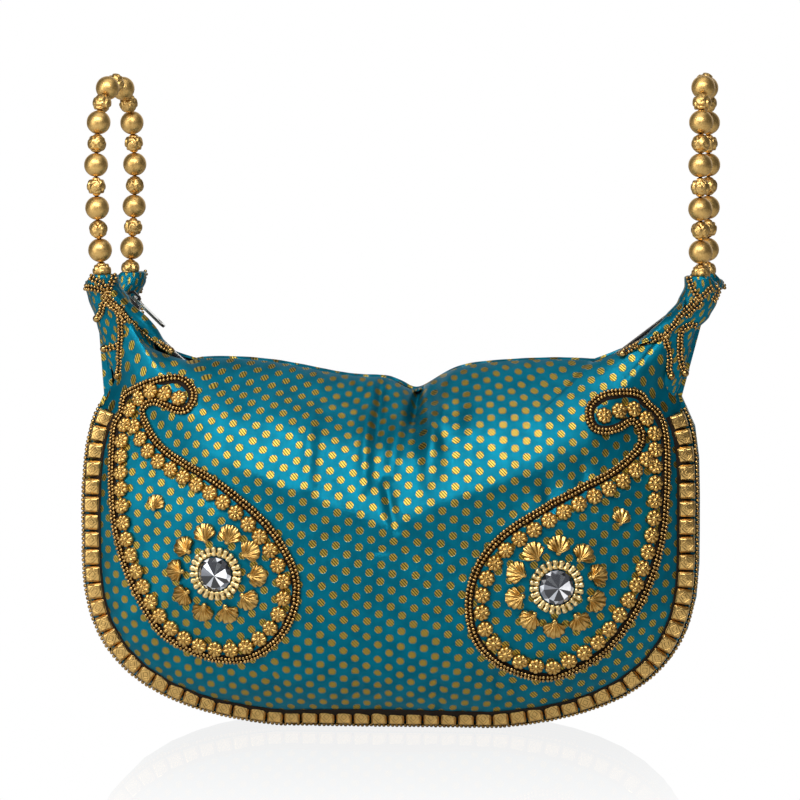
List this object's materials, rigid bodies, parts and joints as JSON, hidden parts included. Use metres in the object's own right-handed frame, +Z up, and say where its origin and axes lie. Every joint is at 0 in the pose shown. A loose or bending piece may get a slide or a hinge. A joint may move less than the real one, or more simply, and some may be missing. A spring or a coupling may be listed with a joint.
{
  "type": "zip-top brocade evening bag",
  "caption": "Half-moon stuffed brocade evening bag with beaded paisleys, a stud rim, a zip mouth and a bead loop handle at each top corner.",
  "frame": {"origin": "middle of the flat patch of gusset that the bag stands on", "axes": "+X to the right as seen from the decorated front, which faces -Y; +Z up"},
  "size_m": [0.2902, 0.1066, 0.2942],
  "materials": {
    "brocade": "teal satin brocade with woven gold dots",
    "brass": "antiqued gold plating on light pressed studs and sequins",
    "seed_bead": "bronze-gold metallic seed beads on dark thread",
    "gold_bead": "satin gold plated beads",
    "crystal": "foil-backed cut crystal",
    "zip_tape": "black zip tape and black slider",
    "zip_metal": "bright nickel zip metal"
  },
  "bodies": {
    "bag": {"front_panel": "brocade", "back_panel": "brocade", "gusset": "brocade", "back_piping": "brocade", "left_front_ear": "brocade", "left_back_ear": "brocade", "right_front_ear": "brocade", "right_back_ear": "brocade", "stud_row": "brass", "left_rondelle_ring": "brass", "right_rondelle_ring": "brass", "left_shell_01": "brass", "left_shell_02": "brass", "left_shell_03": "brass", "left_shell_04": "brass", "left_shell_05": "brass", "left_shell_06": "brass", "left_shell_07": "brass", "left_shell_08": "brass", "left_shell_09": "brass", "left_shell_10": "brass", "right_shell_01": "brass", "right_shell_02": "brass", "right_shell_03": "brass", "right_shell_04": "brass", "right_shell_05": "brass", "right_shell_06": "brass", "right_shell_07": "brass", "right_shell_08": "brass", "right_shell_09": "brass", "right_shell_10": "brass", "left_lone_shell": "brass", "right_lone_shell": "brass", "rim_bead_string": "seed_bead", "left_bead_outline": "seed_bead", "right_bead_outline": "seed_bead", "left_front_ear_trim": "seed_bead", "left_back_ear_trim": "seed_bead", "right_front_ear_trim": "seed_bead", "right_back_ear_trim": "seed_bead", "left_flower_chain": "gold_bead", "right_flower_chain": "gold_bead", "left_crystal": "crystal", "right_crystal": "crystal", "front_zip_tape": "zip_tape", "back_zip_tape": "zip_tape", "zip_teeth": "zip_metal", "zip_top_stop": "zip_metal", "zip_end_stop": "zip_metal"},
    "left_handle": {"left_handle": "gold_bead"},
    "right_handle": {"right_handle": "gold_bead"},
    "zip_slider": {"zip_slider": "zip_tape"},
    "zip_pull": {"zip_pull": "zip_metal"}
  },
  "joints": [
    {"name": "left_handle_swing", "type": "hinge", "parent": "bag", "child": "left_handle", "pos_m": [-0.12648, 0, 0.20596], "axis": [0.2289, 0.9735, 0.0029], "range_deg": [-75, 50]},
    {"name": "right_handle_swing", "type": "hinge", "parent": "bag", "child": "right_handle", "pos_m": [0.14117, 0, 0.20582], "axis": [0.0801, 0.9968, 0], "range_deg": [-50, 75]},
    {"name": "zip_slide", "type": "slide", "parent": "bag", "child": "zip_slider", "axis": [0.7222, 0, -0.6917], "range_m": [0, 0.012]},
    {"name": "pull_swing", "type": "hinge", "parent": "zip_slider", "child": "zip_pull", "pos_m": [-0.1184, 0, 0.19343], "axis": [0, -1, 0], "range_deg": [0, 150]}
  ]
}
